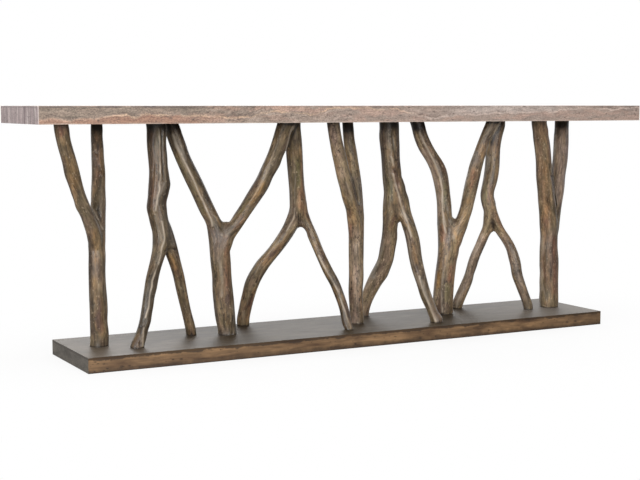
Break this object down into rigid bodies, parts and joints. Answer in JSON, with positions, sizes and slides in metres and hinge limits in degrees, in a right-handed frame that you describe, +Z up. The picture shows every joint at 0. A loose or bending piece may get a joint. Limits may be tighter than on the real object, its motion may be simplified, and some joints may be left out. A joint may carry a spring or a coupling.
{
  "type": "rustic branch-leg console table",
  "caption": "Long console table with a mottled stone-faced slab carried by forked, peeled tree limbs on a low veneered plinth.",
  "frame": {"origin": "on the floor under the middle of the plinth", "axes": "+X along the table to its right end, +Y from front to back, +Z up"},
  "size_m": [2.424, 0.442, 0.864],
  "materials": {
    "limb_wood": "satin",
    "slab_stone": "honed",
    "plinth_veneer": "satin",
    "frame_wood": "matte",
    "zinc_steel": "zinc"
  },
  "bodies": {
    "root": {"base_back_board": "plinth_veneer", "base_bottom_panel": "frame_wood", "base_deck": "plinth_veneer", "base_front_board": "plinth_veneer", "base_left_board": "plinth_veneer", "base_ribs": "frame_wood", "base_right_board": "plinth_veneer", "base_screws": "zinc_steel", "foot_studs": "zinc_steel", "leg_1": "limb_wood", "leg_2": "limb_wood", "leg_3": "limb_wood", "leg_4": "limb_wood", "leg_5": "limb_wood", "leg_6": "limb_wood", "leg_7": "limb_wood", "leg_8": "limb_wood", "leg_9": "limb_wood", "leg_nuts": "zinc_steel", "leg_washers": "zinc_steel", "top_back_edge": "slab_stone", "top_back_rail": "frame_wood", "top_carrier": "frame_wood", "top_end_rails": "frame_wood", "top_front_edge": "slab_stone", "top_front_rail": "frame_wood", "top_left_edge": "slab_stone", "top_panel": "slab_stone", "top_ribs": "frame_wood", "top_right_edge": "slab_stone", "top_screws": "zinc_steel", "top_studs": "zinc_steel"}
  },
  "joints": []
}
